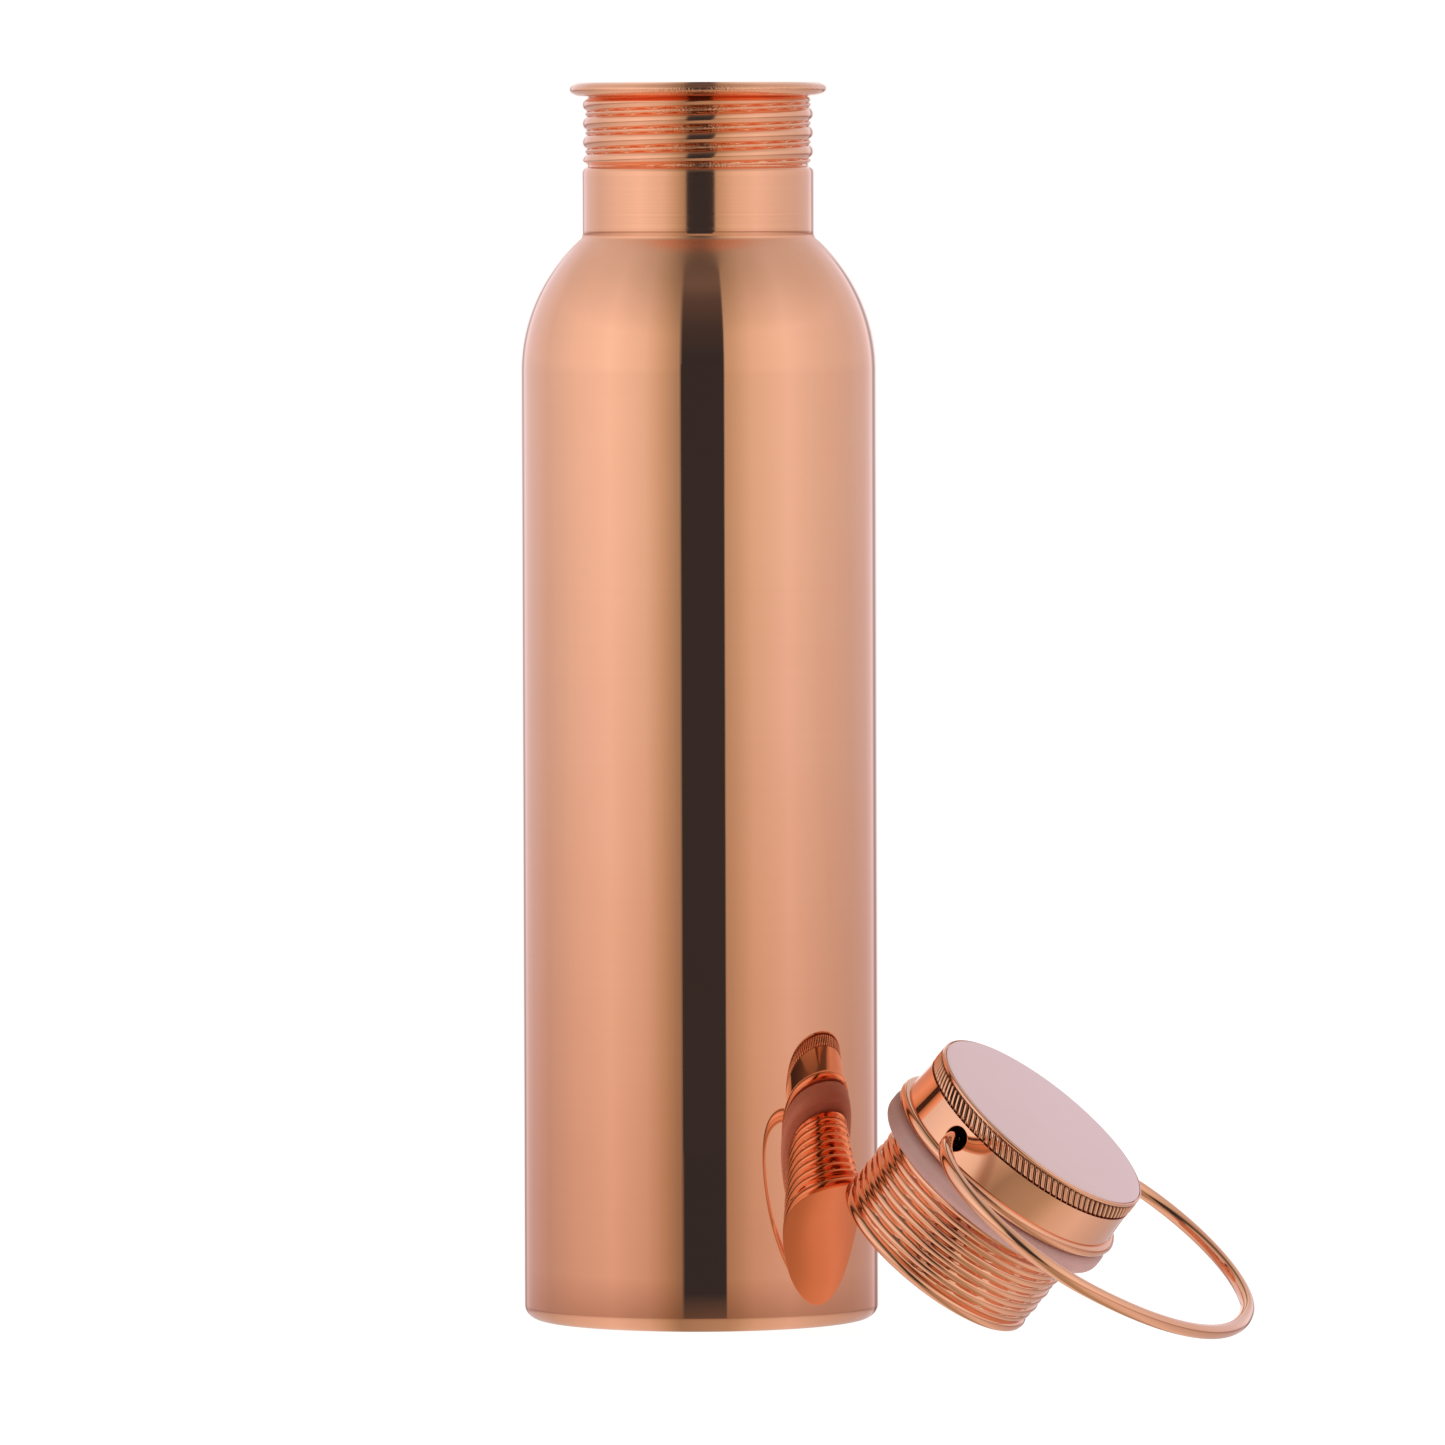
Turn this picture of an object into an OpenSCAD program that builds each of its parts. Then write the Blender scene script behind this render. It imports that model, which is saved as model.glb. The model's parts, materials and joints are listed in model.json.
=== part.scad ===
// Copper water bottle with a screw cap and a carrying bail.
// The bottle stands open on its base. The cap lies beside it, tipped on the rim
// of its plug and leaning on the bottle, with the bail's end on the same surface.

/* [Bottle] */
// Height of the bottle without its cap
bottle_h = 254; // [210:1:310]
// Outside diameter of the body
body_d = 73; // [60:0.5:90]
// Thickness of the copper sheet
wall = 0.7; // [0.5:0.1:1.2]
// Radius of the heel, between the side and the base
heel_r = 3; // [2:0.5:6]
// Thickness of the base disc
base_t = 0.8; // [0.6:0.1:1.5]
// Outside diameter of the neck
neck_d = 47.6; // [40:0.2:56]
// Distance from the lip down to the joint with the body
neck_h = 31.8; // [28:0.2:40]
// How far the rolled lip stands out of the neck
lip_out = 2.6; // [2:0.1:4]
// Height of the rolled lip
lip_h = 2.9; // [2.4:0.1:3.6]

/* [Thread] */
// Rise of the thread in one turn
pitch = 3.84; // [3.2:0.02:4.6]
// Height of a thread crest above its groove
thread_depth = 1.2; // [0.8:0.1:1.5]
// Length of the thread on the neck
neck_thread_h = 14.2; // [11:0.2:16]
// Length of the threaded plug under the seal
plug_h = 19.1; // [14:0.1:24]
// Radial gap between the neck's thread and the plug's thread
thread_gap = 0.3; // [0.2:0.05:0.5]

/* [Cap] */
// Height of the cap's shell above the flange
cap_h = 10.9; // [9:0.1:14]
// How far the cap's skirt stands out of the plug's thread
skirt_out = 2.7; // [2:0.1:5]
// Height of the knurled rim
knurl_h = 3.6; // [3:0.1:4.4]
// Height of the bevel above the knurl
bevel_h = 0.6; // [0.3:0.1:1]
// Thickness of the cap's sheet
cap_wall = 0.8; // [0.6:0.1:1.2]
// Thickness of the inlaid top disc at its edge
disc_t = 0.5; // [0.3:0.1:1]
// Width of the flat rim round the top disc
disc_rim = 0.3; // [0.2:0.1:1]
// Play of the top disc and of the seal in their seats
seat_play = 0.05; // [0.02:0.01:0.1]
// How deep the cap's shell is pressed into the flange
press_in = 0.3; // [0.2:0.1:0.6]
// Height of the top disc's crown above its edge
crown_h = 0.5; // [0.2:0.1:1]
// Height of the rolled flange under the cap
flange_h = 2.4; // [2:0.1:3]
// How far the flange and the seal stand out of the skirt
flange_out = 1.4; // [1:0.1:3]
// Height of the seal ring
seal_h = 5; // [3:0.5:6]

/* [Bail] */
// Diameter of the bail's wire
wire_d = 3; // [2.5:0.1:3.5]
// Play between the wire and its hole in the skirt, each side.
bail_play = 1.1; // [0.7:0.1:1.2]
// How far the bail's arms bow out beyond the cap's skirt
bail_bow = 18.4; // [14:0.2:26]
// Distance from the holes to the widest place of the bail
bail_widest = 25; // [20:0.5:32]
// How much larger the radius of the bail's sides is than that distance
bail_flare = 1.5; // [0.5:0.1:3]
// How much further the bail's far end lies out than round sides would put it
bail_end = 5.1; // [3:0.1:8]
// Radius of the bend at the bail's pegs
bail_bend_r = 4; // [3:0.5:6]

/* [Resting place of the cap] */
// Tilt of the cap's axis from upright
cap_tilt = 40.4; // [35:0.2:48]
// Direction that the cap leans away in, round the bottle
cap_azimuth = -22.8; // [-40:0.2:0]
// Turn of the bail's holes round the cap's axis
hole_turn = -103.5; // [-125:0.5:-95]
// Direction from the bottle to where the plug leans on it
contact_azimuth = -28.4; // [-45:0.2:-15]
// Gap between the bottle and the plug
contact_gap = 0.4; // [0.3:0.1:3]

/* [Hidden] */
$fn = 96;

// Bottle
body_r = body_d / 2;
neck_r = neck_d / 2;
joint_z = bottle_h - neck_h;
shoulder_r = body_r - 0.5;
shoulder_rise = sqrt(pow(shoulder_r, 2) - pow(neck_r - body_r + shoulder_r, 2));
shoulder_z = joint_z - shoulder_rise;
lip_r = neck_r + lip_out;
thread_top = bottle_h - lip_h;
thread_low = thread_top - neck_thread_h;
groove_in = neck_r - wall - thread_depth;

// Cap, in its own frame: the seal's underside is at 0 and the plug hangs below it
plug_r = neck_r - wall - thread_gap;
skirt_r = plug_r + skirt_out;
flange_r = skirt_r + flange_out;
skirt_z = seal_h + flange_h;
cap_top = skirt_z + cap_h;
knurl_z = cap_top - bevel_h - knurl_h;
hole_z = (skirt_z + knurl_z) / 2;
disc_r = skirt_r - 0.6;
plug_core_r = plug_r - thread_depth;
plug_bore_r = plug_core_r - cap_wall;
plug_rim = 1;

// Bail, in its own plane: s runs through the holes, w runs out to the far end
wire_r = wire_d / 2;
bail_half_w = skirt_r + bail_bow;
side_r = bail_widest + bail_flare;
side_s = bail_half_w - side_r;
end_r = (pow(side_s, 2) + pow(side_r + bail_end, 2) - pow(side_r, 2)) / (2 * bail_end);
end_w = bail_widest + side_r + bail_end - end_r;
end_half_angle = atan2(side_s, bail_widest - end_w);
bend_angle = asin((bail_widest - bail_bend_r) / (side_r - bail_bend_r));
peg_s = side_s + (side_r - bail_bend_r) * cos(bend_angle);
peg_in = skirt_r - cap_wall - 2.5;

// Resting place of the cap: its rim on the floor and its plug by the bottle's wall
lean = contact_azimuth - cap_azimuth;
rim_reach = sqrt(pow(cos(cap_tilt) * cos(lean), 2) + pow(sin(lean), 2));
away = [cos(cap_azimuth), sin(cap_azimuth), 0];
across = [-sin(cap_azimuth), cos(cap_azimuth), 0];
cap_axis = sin(cap_tilt) * away + [0, 0, cos(cap_tilt)];
rim_low = (plug_r - plug_rim) * sin(cap_tilt) + plug_rim * (1 - cos(cap_tilt));
plug_end = (body_r + contact_gap) * [cos(contact_azimuth), sin(contact_azimuth), 0]
         + (plug_r / rim_reach) * (pow(cos(cap_tilt), 2) * cos(lean) * away
                                   + sin(lean) * across)
         + [0, 0, rim_low];
cap_pos = plug_end + plug_h * cap_axis;

// Turn of the bail about its holes that lays its far end on the floor
hole_rise = -sin(cap_tilt) * cos(hole_turn);
side_rise = sin(cap_tilt) * sin(hole_turn);
pivot_z = cap_pos.z + hole_z * cap_axis.z - wire_r;
quad_a = pow(end_r, 2) - pow(end_w, 2);
quad_b = -2 * pivot_z * end_w;
quad_c = pow(end_r * hole_rise, 2) - pow(pivot_z, 2);
reach_fall = (-quad_b - sqrt(pow(quad_b, 2) - 4 * quad_a * quad_c)) / (2 * quad_a);
fall_scale = norm([side_rise, cap_axis.z]);
bail_drop = atan2(cap_axis.z, side_rise) + asin(reach_fall / fall_scale);

// Puts a piece of the cap where the cap lies
module lay_cap() {
    translate(cap_pos) rotate([0, cap_tilt, cap_azimuth]) rotate([0, 0, hole_turn]) children();
}

// Height of the thread's surface above its groove, from 0 to 1, a given part of a
// turn away from its crest
function crest(part) = (1 + cos(360 * part)) / 2;

// Eases a height in over half a turn from each end of the thread
function ease(z, low, top) = min(1, max(0, min(z - low, top - z) / (pitch / 2)));

// Wall turned round the axis with a helical thread in it. Each station of its outline
// is a radius, a height and how much of the thread's crest it takes. The outline runs
// up the outside and down the inside, and either meets itself or is capped at its ends.
module turned_thread(outline, low, top, loop) {
    turn_steps = 48;
    points = [for (station = outline) for (k = [0:turn_steps - 1])
        let (a = 360 * k / turn_steps, z = station[1],
             swell = ease(z, low, top) * crest((z - top) / pitch - k / turn_steps),
             r = station[0] + station[2] * swell)
        [r * cos(a), r * sin(a), z]];
    spans = len(outline) - (loop ? 1 : 2);
    sides = [for (i = [0:spans]) for (k = [0:turn_steps - 1])
        let (n = (k + 1) % turn_steps, p = i * turn_steps,
             q = ((i + 1) % len(outline)) * turn_steps)
        each [[p + k, q + k, q + n], [p + k, q + n, p + n]]];
    last = (len(outline) - 1) * turn_steps;
    caps = [[for (k = [0:turn_steps - 1]) k],
            [for (k = [turn_steps - 1:-1:0]) last + k]];
    polyhedron(points, loop ? sides : concat(sides, caps), convexity = 12);
}

// Stations along a thread, from one height to another, at six to a turn
function thread_stations(r, depth, from, to) =
    let (rows = ceil(abs(to - from) / pitch * 6))
    [for (i = [0:rows]) [r, from + (to - from) * i / rows, depth]];

// Stations round a bead, from one angle to another
function bead_stations(centre_r, centre_z, r, from, to, steps) = [for (i = [0:steps])
    let (a = from + (to - from) * i / steps) [centre_r + r * cos(a), centre_z + r * sin(a), 0]];

// Half outline of the body, from its axis out, drawn in from the outer face
module body_outline(inset) {
    r = body_r - inset;
    translate([0, inset]) square([body_r - heel_r, shoulder_z - inset]);
    translate([0, heel_r]) square([r, shoulder_z - heel_r]);
    translate([body_r - heel_r, heel_r]) circle(heel_r - inset);
    intersection() {
        translate([body_r - shoulder_r, shoulder_z]) circle(shoulder_r - inset, $fn = 192);
        translate([0, shoulder_z]) square([r, shoulder_rise]);
    }
}

module body_shell() {
    color("#c98a6c") rotate_extrude() difference() {
        body_outline(0);
        body_outline(wall);
        translate([-1, -1]) square([body_r - heel_r + 1, wall + 2]);
        square([neck_r - wall, joint_z + 1]);
    }
}

module base_disc() {
    color("#b87757") cylinder(r = body_r - heel_r, h = base_t);
}

module neck_collar() {
    step_h = 1;
    step_drop = 0.4;
    bead_r = lip_h / 2;
    outline = concat(
        [[neck_r, joint_z, 0], [neck_r, thread_low - step_h, 0]],
        thread_stations(neck_r - thread_depth, thread_depth, thread_low, thread_top),
        bead_stations(lip_r - bead_r, bottle_h - bead_r, bead_r, -90, 90, 8),
        [[groove_in + 0.4, bottle_h, 0], [groove_in, bottle_h - 0.4, 0]],
        thread_stations(groove_in, thread_depth, thread_top, thread_low),
        [[groove_in, thread_low - step_drop, 0],
         [neck_r - wall, thread_low - step_h - step_drop, 0],
         [neck_r - wall, joint_z, 0]]);
    color("#c98a6c") turned_thread(outline, thread_low, thread_top, true);
}

module cap_shell() {
    color("#cf8d6a") lay_cap() difference() {
        rotate_extrude() {
            translate([0, skirt_z - press_in]) square([skirt_r, knurl_z - skirt_z + press_in]);
            translate([0, knurl_z]) square([skirt_r - 0.1, knurl_h]);
            polygon([[0, knurl_z + knurl_h], [skirt_r - 0.1, knurl_z + knurl_h],
                     [disc_r, cap_top], [0, cap_top]]);
        }
        translate([0, 0, skirt_z - 1])
            cylinder(r = skirt_r - cap_wall, h = cap_h - disc_t - cap_wall + 1);
        translate([0, 0, cap_top - disc_t]) cylinder(r = disc_r - disc_rim, h = disc_t + 1);
        translate([-skirt_r - 1, 0, hole_z]) rotate([0, 90, 0])
            cylinder(r = wire_r + bail_play, h = 2 * skirt_r + 2);
    }
}

module cap_disc() {
    inlay_r = disc_r - disc_rim - seat_play;
    steps = 6;
    color("#dcb9b4") lay_cap() translate([0, 0, cap_top - disc_t]) rotate_extrude()
        polygon(concat([[0, 0], [inlay_r, 0]],
            [for (i = [steps:-1:0]) [inlay_r * i / steps,
                                     disc_t + crown_h * (1 - pow(i / steps, 2))]]));
}

module threaded_plug() {
    bead_r = flange_h / 2;
    rim_z = plug_rim - plug_h;
    outline = concat(
        bead_stations(plug_r - plug_rim, rim_z, plug_rim, -90, 90, 6),
        thread_stations(plug_core_r, thread_depth, rim_z + plug_rim + 0.2, 0),
        [[plug_core_r, seal_h, 0]],
        bead_stations(flange_r - bead_r, seal_h + bead_r, bead_r, -90, 180, 12),
        [[flange_r - flange_h, seal_h + cap_wall, 0],
         [plug_bore_r, seal_h + cap_wall, 0],
         [plug_bore_r, cap_wall - plug_h, 0]]);
    color("#c07a58") lay_cap() turned_thread(outline, rim_z + plug_rim, 0, false);
}

module seal_ring() {
    edge_r = 1.6;
    color("#cbb6b2") lay_cap() rotate_extrude() {
        translate([plug_core_r + seat_play, 0])
            square([flange_r - edge_r - plug_core_r - seat_play, seal_h]);
        translate([flange_r - 2 * edge_r, edge_r]) square([2 * edge_r, seal_h - 2 * edge_r]);
        translate([flange_r - edge_r, edge_r]) circle(edge_r);
        translate([flange_r - edge_r, seal_h - edge_r]) circle(edge_r);
    }
}

// Stations of the bail's wire along an arc: its middle line and the outward direction
function wire_arc(centre, r, from, to, steps) = [for (i = [1:steps])
    let (a = from + (to - from) * i / steps, out = [cos(a), sin(a)]) [centre + r * out, out]];

module bail_handle() {
    sides = 20;
    half = concat(
        [[[peg_in, 0], [0, -1]], [[peg_s, 0], [0, -1]]],
        wire_arc([peg_s, bail_bend_r], bail_bend_r, -90, -bend_angle, 8),
        wire_arc([side_s, bail_widest], side_r, -bend_angle, 90 - end_half_angle, 22),
        wire_arc([0, end_w], end_r, 90 - end_half_angle, 90, 12));
    path = concat(half, [for (i = [len(half) - 2:-1:0]) let (p = half[i][0], out = half[i][1])
        [[-p.x, p.y], [-out.x, out.y]]]);
    points = [for (station = path) for (k = [0:sides - 1])
        let (a = 360 * k / sides, flat = station[0] + wire_r * cos(a) * station[1])
        [flat.x, flat.y, wire_r * sin(a)]];
    last = (len(path) - 1) * sides;
    faces = concat(
        [[for (k = [sides - 1:-1:0]) k]],
        [for (i = [0:sides:last - sides]) for (k = [0:sides - 1]) let (n = (k + 1) % sides)
            each [[i + k, i + n, i + sides + n], [i + k, i + sides + n, i + sides + k]]],
        [[for (k = [0:sides - 1]) last + k]]);
    color("#c98a6c") lay_cap() translate([0, 0, hole_z]) rotate([bail_drop - 90, 0, 0])
        polyhedron(points, faces, convexity = 6);
}

body_shell();
base_disc();
neck_collar();
cap_shell();
cap_disc();
threaded_plug();
seal_ring();
bail_handle();
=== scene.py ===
# %% [markdown]
# # A copper water bottle, its screw cap and its carrying bail
# The bottle is spun from thin copper and polished like a mirror. It stands open, and the
# cap leans on it with its wire bail lying out on the table. A mirror has no looks of its
# own: what we see is the studio. So this lesson spends its care on two things, clean
# turned surfaces with smooth normals, and a studio whose panels are worth reflecting.

# %% Load the frame
import json
import math

import bpy
import numpy as np
from mathutils import Matrix, Vector


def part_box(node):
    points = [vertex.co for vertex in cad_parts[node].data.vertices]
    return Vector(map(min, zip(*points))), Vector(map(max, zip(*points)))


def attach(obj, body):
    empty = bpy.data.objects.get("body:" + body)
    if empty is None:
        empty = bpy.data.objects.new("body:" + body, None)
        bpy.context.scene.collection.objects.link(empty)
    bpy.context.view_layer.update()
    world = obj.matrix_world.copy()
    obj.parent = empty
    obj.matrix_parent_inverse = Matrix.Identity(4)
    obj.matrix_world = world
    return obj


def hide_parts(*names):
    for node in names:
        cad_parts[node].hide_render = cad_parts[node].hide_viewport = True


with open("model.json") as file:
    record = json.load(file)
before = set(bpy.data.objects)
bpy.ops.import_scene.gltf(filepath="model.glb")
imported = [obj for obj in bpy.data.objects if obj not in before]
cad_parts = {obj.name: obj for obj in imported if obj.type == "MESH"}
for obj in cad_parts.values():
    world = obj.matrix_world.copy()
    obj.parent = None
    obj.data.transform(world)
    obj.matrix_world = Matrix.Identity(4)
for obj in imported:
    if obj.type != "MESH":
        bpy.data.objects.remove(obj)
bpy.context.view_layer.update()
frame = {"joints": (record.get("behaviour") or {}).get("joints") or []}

# %% [markdown]
# ## Where everything is
# The bottle's axis is the Z axis. The cap lies tilted, so it gets a frame of its own: Z
# up its axis, X through the two holes that the bail hangs in, and zero at the seal's
# underside. Both directions come from the joints in the record, so the cap lands where
# the CAD has it, and every cap piece can be turned upright and then laid down.

# %% Sizes and the cap's frame, in millimetres
MM = 0.001
joints = {joint["name"]: joint for joint in frame["joints"]}
cap_up = Vector(joints["cap_lift"]["axis"]).normalized()
holes_line = Vector(joints["bail_swing"]["axis"]).normalized()
holes_line = (holes_line - holes_line.dot(cap_up) * cap_up).normalized()
bail_out = cap_up.cross(holes_line)
hole_centre = Vector(joints["bail_swing"]["pos_m"])

body_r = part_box("body_shell")[1].x / MM
bottle_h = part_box("neck_collar")[1].z / MM
joint_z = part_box("body_shell")[1].z / MM
neck_r, wall, heel_r = 23.8, 0.7, 3.0
lip_r, lip_h, thread_h = 26.4, 2.9, 14.2
pitch, thread_start = 3.84, 251.27
plug_r, plug_core_r, plug_bore_r, plug_h = 22.8, 21.45, 20.8, 19.1
skirt_r, cap_wall, skirt_h, seal_h, flange_h = 25.5, 0.8, 10.9, 5.0, 2.4
knurl_and_bevel_h, flange_out = 4.2, 1.4
hole_r, wire_r = 2.6, 1.5

flange_r = skirt_r + flange_out
skirt_z = seal_h + flange_h
cap_top = skirt_z + skirt_h
knurl_z = cap_top - knurl_and_bevel_h
hole_z = (skirt_z + knurl_z) / 2

cap_origin = hole_centre - hole_z * MM * cap_up
lay_cap = Matrix.Translation(cap_origin) @ Matrix(
    (holes_line, bail_out, cap_up)).transposed().to_4x4()
print("body radius", round(body_r, 2), "height", round(bottle_h, 2), "joint", round(joint_z, 2))
print("cap origin", [round(v, 4) for v in cap_origin])

# %% [markdown]
# ## Camera and studio
# The camera stands far off with a long lens, so the bottle's sides stay parallel. The
# light is two tall soft panels, left and right, with a dark gap between them where the
# camera stands: that gap is the dark strip down the front of the bottle. The panels
# could be area lights, but then every curve shows their corners. Here they are painted
# on the world as one smooth function of direction, which also gives no noise.

# %% Camera
eye = bpy.data.cameras.new("studio_camera")
eye.sensor_width = 36
eye.lens = 339.92
eye.clip_end = 100
camera = bpy.data.objects.new("studio_camera", eye)
stand = Vector((0.004667, -2.8, 0.2503))
pitch_down, roll = 0.0456, -0.003
ahead = Vector((0, math.cos(pitch_down), -math.sin(pitch_down)))
level_up = Vector((0, math.sin(pitch_down), math.cos(pitch_down)))
side = math.cos(roll) * Vector((1, 0, 0)) + math.sin(roll) * level_up
over = math.cos(roll) * level_up - math.sin(roll) * Vector((1, 0, 0))
camera.matrix_world = Matrix.Translation(stand) @ Matrix(
    (side, over, -ahead)).transposed().to_4x4()
bpy.context.scene.collection.objects.link(camera)
bpy.context.scene.camera = camera
print("lens", round(eye.lens, 1), "mm")

# %% [markdown]
# ## Writing node maths as Python
# Shader and geometry trees share their maths nodes. One small class holds a socket and
# turns + - * / into Math nodes, so a rule can be written as a line of algebra. A second
# class makes any other node from its type, its settings and its inputs.

# %% Values and makers


class Value:
    """A socket that takes part in sums."""

    def __init__(self, maker, socket):
        self.maker, self.socket = maker, socket

    def _math(self, operation, *others, swap=False):
        terms = [self, *others]
        if swap:
            terms.reverse()
        return self.maker.add("ShaderNodeMath", {"operation": operation}, terms)[0]

    def __add__(self, other): return self._math("ADD", other)
    def __radd__(self, other): return self._math("ADD", other, swap=True)
    def __sub__(self, other): return self._math("SUBTRACT", other)
    def __rsub__(self, other): return self._math("SUBTRACT", other, swap=True)
    def __mul__(self, other): return self._math("MULTIPLY", other)
    def __rmul__(self, other): return self._math("MULTIPLY", other, swap=True)
    def __truediv__(self, other): return self._math("DIVIDE", other)
    def __rtruediv__(self, other): return self._math("DIVIDE", other, swap=True)
    def __pow__(self, other): return self._math("POWER", other)
    def __abs__(self): return self._math("ABSOLUTE")
    def __gt__(self, other): return self._math("GREATER_THAN", other)
    def least(self, other): return self._math("MINIMUM", other)
    def most(self, other): return self._math("MAXIMUM", other)
    def floor(self): return self._math("FLOOR")
    def root(self): return self._math("SQRT")
    def angle(self, other): return self._math("ARCTAN2", other)

    def held(self):
        """Held between 0 and 1."""
        return self.most(0.0).least(1.0)


class Maker:
    """Adds nodes to one tree."""

    def __init__(self, tree):
        self.tree = tree

    def add(self, kind, settings=None, inputs=()):
        node = self.tree.nodes.new(kind)
        for name, value in (settings or {}).items():
            setattr(node, name, value)
        pairs = inputs.items() if isinstance(inputs, dict) else enumerate(inputs)
        for key, value in pairs:
            if isinstance(value, Value):
                self.tree.links.new(value.socket, node.inputs[key])
            else:
                node.inputs[key].default_value = value
        self.last = node
        return [Value(self, socket) for socket in node.outputs]

    def ramp(self, factor, stops):
        """A ramp of greys or colours; stops are (place from 0 to 1, grey or colour)."""
        out = self.add("ShaderNodeValToRGB", {}, [factor])
        band = self.last.color_ramp
        while len(band.elements) > 1:
            band.elements.remove(band.elements[-1])
        for i, (place, shade) in enumerate(stops):
            stop = band.elements[0] if i == 0 else band.elements.new(place)
            stop.position = place
            stop.color = (shade,) * 3 + (1,) if isinstance(shade, float) else (*shade, 1)
        return out[0]

    def mix(self, factor, first, second):
        """Blends two colours, given as sockets or as red, green and blue."""
        first, second = [(*c, 1) if isinstance(c, tuple) else c for c in (first, second)]
        return self.add("ShaderNodeMix", {"data_type": "RGBA"}, {0: factor, 6: first, 7: second})[2]

    def vector(self, operation, *terms):
        return self.add("ShaderNodeVectorMath", {"operation": operation}, terms)


# %% [markdown]
# ## The panels on the world
# For each direction we ask where on a round bottle it would be mirrored to the camera.
# That place, from -1 at the left edge to +1 at the right edge, drives the first ramp, so
# the ramp reads like the bottle itself: bright at the middle of each side, dimmer to the
# edges, and cooler there, where the panels turn away. How far a direction points up or
# down drives a second ramp: the panels fade overhead, and a darker line low down is the
# edge of the table. The gap where the camera stands is a third part. It is nearly black,
# lightens overhead, and ends where the table begins. Behind all stands a white backdrop.

# %% World
studio = bpy.data.worlds.new("studio")
bpy.context.scene.world = studio
studio.use_nodes = True
studio.node_tree.nodes.clear()
sky = Maker(studio.node_tree)
towards = sky.add("ShaderNodeTexCoord")[0]
east, north, up = sky.add("ShaderNodeSeparateXYZ", {}, [towards])[:3]
facing = 1 - north
level = (east * east + facing * facing + 1e-6).root()
across = east / level


def panel(strength, cool):
    """Light of one place on a panel; cool runs from warm at -1 to rosy grey at 1."""
    return (strength, strength * (0.98 + 0.06 * cool), strength * (0.96 + 0.24 * cool))


def between(stops):
    """Moves the stops' places from the range -1 to 1 into a ramp's range."""
    return [(0.5 + 0.5 * place, shade) for place, shade in stops]


panels = sky.ramp(across * 0.5 + 0.5, between([
    (-1.0, panel(0.75, 1)), (-0.992, panel(0.42, 1)), (-0.986, panel(0.46, 1)),
    (-0.978, panel(1.0, 1)), (-0.965, panel(0.82, 1)), (-0.94, panel(0.76, 0.9)),
    (-0.85, panel(0.72, 0.2)), (-0.7, panel(0.87, 0)), (-0.5, panel(0.99, 0)),
    (-0.3, panel(0.83, -0.3)), (-0.2, panel(0.63, -1)), (-0.12, panel(0.43, -1)),
    (0.15, panel(0.55, -1)), (0.2, panel(0.62, -0.9)), (0.3, panel(0.79, -0.5)),
    (0.5, panel(0.91, 0)), (0.7, panel(0.77, 0)), (0.85, panel(0.69, 0.3)),
    (0.93, panel(0.71, 0.8)), (0.955, panel(0.8, 1)), (0.968, panel(1.0, 1)),
    (0.976, panel(0.5, 1)), (0.984, panel(0.4, 1)), (0.992, panel(0.9, 1))]))
heights = sky.ramp(up * 0.5 + 0.5, between([
    (-1.0, (0.9, 0.85, 0.82)), (-0.45, (0.86, 0.8, 0.76)), (-0.36, (0.82, 0.76, 0.72)),
    (-0.24, (0.76, 0.68, 0.64)), (-0.19, (0.58, 0.47, 0.43)), (-0.14, (0.54, 0.43, 0.39)),
    (-0.1, (0.72, 0.6, 0.56)), (-0.08, (0.8, 0.7, 0.66)), (-0.065, (0.87, 0.79, 0.76)),
    (-0.045, (0.94, 0.92, 0.92)),
    (-0.028, 1.0), (0.05, 1.06), (0.4, 1.06), (0.7, 0.84), (0.9, 0.66), (1.0, 0.6)]))
lit_panels = sky.vector("MULTIPLY", panels, heights)[0]
gap_light = sky.ramp(up * 0.5 + 0.5, between([
    (0.0, (0.037, 0.044, 0.056)), (0.2, (0.04, 0.047, 0.058)), (0.5, (0.06, 0.06, 0.065)),
    (0.75, (0.1, 0.09, 0.09)), (0.87, (0.16, 0.14, 0.13)), (1.0, (0.12, 0.11, 0.1))]))
gap_left, gap_right, gap_foot, backdrop_from = -0.112, 0.147, -0.2, 0.965
gap = ((across - gap_left) * 50).held() * ((gap_right - across) * 120).held()
gap = gap * ((up - gap_foot) * 11).held()
backdrop = ((north - backdrop_from) * 200).held()
seen = sky.mix(backdrop, sky.mix(gap, lit_panels, gap_light), (1.03, 1.03, 1.03))
light = sky.add("ShaderNodeBackground", {}, {"Color": seen, "Strength": 1.0})[0]
sky.add("ShaderNodeOutputWorld", {}, [light])
bpy.context.scene.view_settings.view_transform = "Standard"
print("world nodes", len(studio.node_tree.nodes))

# %% [markdown]
# ## Table and flag
# The table glows a little, like the lit acrylic that small goods are often shot on, so
# it stays white and keeps only a trace of shadow where the pieces touch it. It is left
# out of mirror reflections, because the world below the horizon already stands for it,
# and a hard table edge would cut across the bottle's dark strip. A black flag stands
# under the lens. Only mirror rays meet it: seen from the neck it carries the dark strip
# down over the round thread, and seen from the low cap it is out of the way.

# %% Table and flag


def sheet(name, finish_name, corners, colour, glow, roughness):
    """A flat sheet of the studio that gives off some light of its own."""
    mesh = bpy.data.meshes.new(name)
    mesh.from_pydata(corners, [], [(0, 1, 2, 3)])
    stuff = bpy.data.objects.new(name, mesh)
    bpy.context.scene.collection.objects.link(stuff)
    finish = bpy.data.materials.new(finish_name)
    finish.use_nodes = True
    face = finish.node_tree.nodes["Principled BSDF"].inputs
    face["Base Color"].default_value = (colour, colour, colour, 1)
    face["Roughness"].default_value = roughness
    face["Emission Color"].default_value = (*glow, 1)
    mesh.materials.append(finish)
    return stuff, face


far, front, sunk = 12, -0.5, -0.00005
table, acrylic = sheet(
    "table", "lit_acrylic",
    [(-far, front, sunk), (far, front, sunk), (far, 40, sunk), (-far, 40, sunk)],
    0.16, (1, 1, 1), 0.6)
acrylic["Emission Strength"].default_value = 0.94
table.visible_glossy = False

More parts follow.
